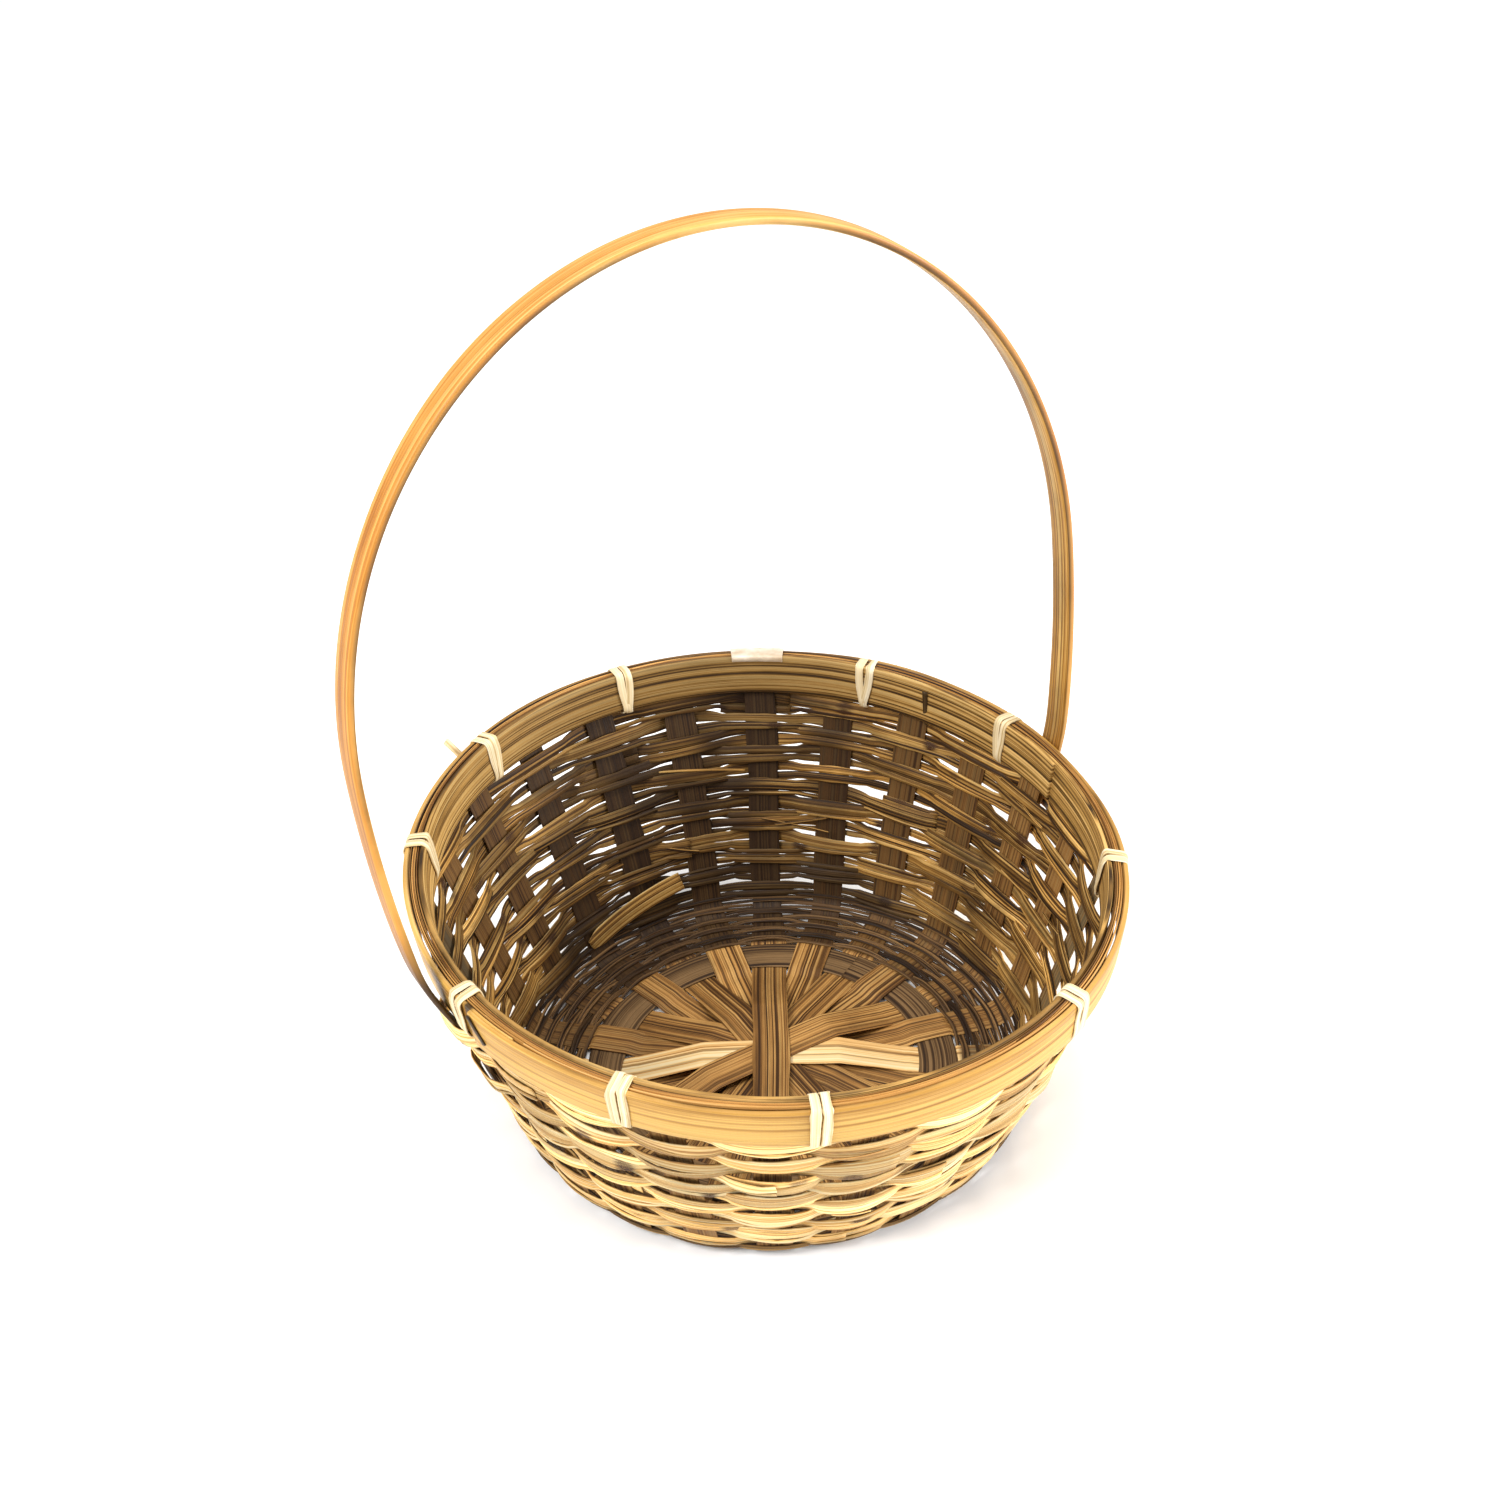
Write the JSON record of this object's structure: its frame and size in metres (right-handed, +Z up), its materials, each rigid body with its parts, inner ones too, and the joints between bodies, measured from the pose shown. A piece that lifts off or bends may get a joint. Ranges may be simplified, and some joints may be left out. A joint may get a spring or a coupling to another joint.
{
  "type": "woven fruit basket",
  "caption": "Round open basket of woven flat bamboo with a bound double-hoop rim and a tall, slightly leaning hoop handle of bent bamboo strip.",
  "frame": {"origin": "on the ground under the middle of the basket", "axes": "+Z up, X along the handle from foot to foot, +Y towards the side that the handle leans to"},
  "size_m": [0.2578, 0.2504, 0.3032],
  "materials": {
    "splints": "matte brown bamboo splint with fine lengthwise grain",
    "fine_weavers": "matte dark brown split bamboo",
    "wall_weavers": "split bamboo, straw outside and brown inside, satin",
    "rim": "satin honey bamboo with dark streaks",
    "handle": "satin orange-brown bamboo, charred at the feet",
    "lashing_cane": "matte cream split cane",
    "tape": "dull translucent tape"
  },
  "bodies": {
    "root": {"carry_handle": "handle", "fine_weaver_01": "fine_weavers", "fine_weaver_02": "fine_weavers", "fine_weaver_03": "fine_weavers", "fine_weaver_04": "fine_weavers", "fine_weaver_05": "fine_weavers", "fine_weaver_06": "fine_weavers", "fine_weaver_07": "fine_weavers", "fine_weaver_08": "fine_weavers", "fine_weaver_09": "fine_weavers", "floor_band": "fine_weavers", "floor_splint_01": "splints", "floor_splint_02": "splints", "floor_splint_03": "splints", "floor_splint_04": "splints", "floor_splint_05": "splints", "floor_splint_06": "splints", "floor_splint_07": "splints", "floor_splint_08": "splints", "floor_splint_09": "splints", "floor_splint_10": "splints", "floor_splint_11": "splints", "floor_splint_12": "splints", "rim_filler_strand_inner": "rim", "rim_filler_strand_outer": "rim", "rim_inner_hoop": "rim", "rim_outer_hoop": "rim", "rim_lashing_01": "lashing_cane", "rim_lashing_02": "lashing_cane", "rim_lashing_03": "lashing_cane", "rim_lashing_04": "lashing_cane", "rim_lashing_05": "lashing_cane", "rim_lashing_06": "lashing_cane", "rim_lashing_07": "lashing_cane", "rim_lashing_08": "lashing_cane", "rim_lashing_09": "lashing_cane", "rim_lashing_10": "lashing_cane", "tape_patch": "tape", "wall_weaver_01": "wall_weavers", "wall_weaver_02": "wall_weavers", "wall_weaver_03": "wall_weavers", "wall_weaver_04": "wall_weavers", "wall_weaver_05": "wall_weavers", "wall_weaver_06": "wall_weavers", "wall_weaver_07": "wall_weavers", "wall_weaver_08": "wall_weavers", "wall_weaver_09": "wall_weavers", "wall_weaver_10": "wall_weavers", "wall_weaver_11": "wall_weavers", "wall_weaver_12": "wall_weavers", "wall_weaver_13": "wall_weavers", "wall_weaver_14": "wall_weavers"}
  },
  "joints": []
}
